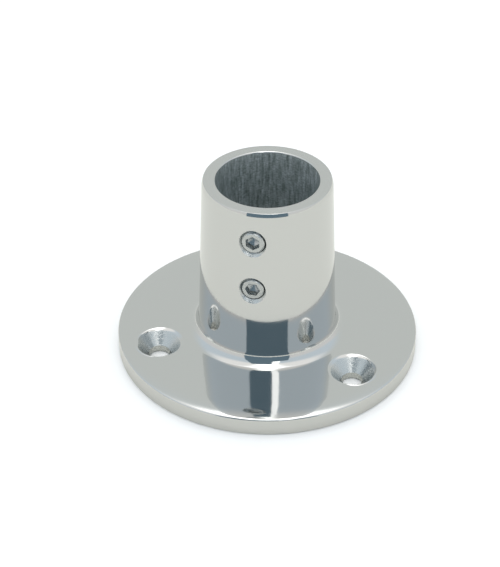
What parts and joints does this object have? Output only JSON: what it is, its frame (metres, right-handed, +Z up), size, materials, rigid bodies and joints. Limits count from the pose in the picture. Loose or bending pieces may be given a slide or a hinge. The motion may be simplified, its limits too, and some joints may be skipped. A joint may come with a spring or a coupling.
{
  "type": "tube clamp base flange",
  "caption": "Round base flange with an upright socket that holds a 25 mm tube, clamped by set screws and screwed down through countersunk holes.",
  "frame": {"origin": "centre of the flange's underside, on the bore axis", "axes": "+Z up the tube socket, -Y out through the set screws, +Y towards the third countersunk hole"},
  "size_m": [0.076, 0.076, 0.048],
  "materials": {
    "polished_steel": "mirror polished cast stainless steel",
    "screw_steel": "bright machined stainless steel"
  },
  "bodies": {
    "flange": {"base_flange": "polished_steel"},
    "upper_screw": {"upper_set_screw": "screw_steel"},
    "lower_screw": {"lower_set_screw": "screw_steel"}
  },
  "joints": [
    {"name": "upper_screw_travel", "type": "slide", "parent": "flange", "child": "upper_screw", "axis": [0, 1, 0], "range_m": [-0.0015, 0.0008]},
    {"name": "lower_screw_travel", "type": "slide", "parent": "flange", "child": "lower_screw", "axis": [0, 1, 0], "range_m": [-0.0015, 0.0008]}
  ]
}
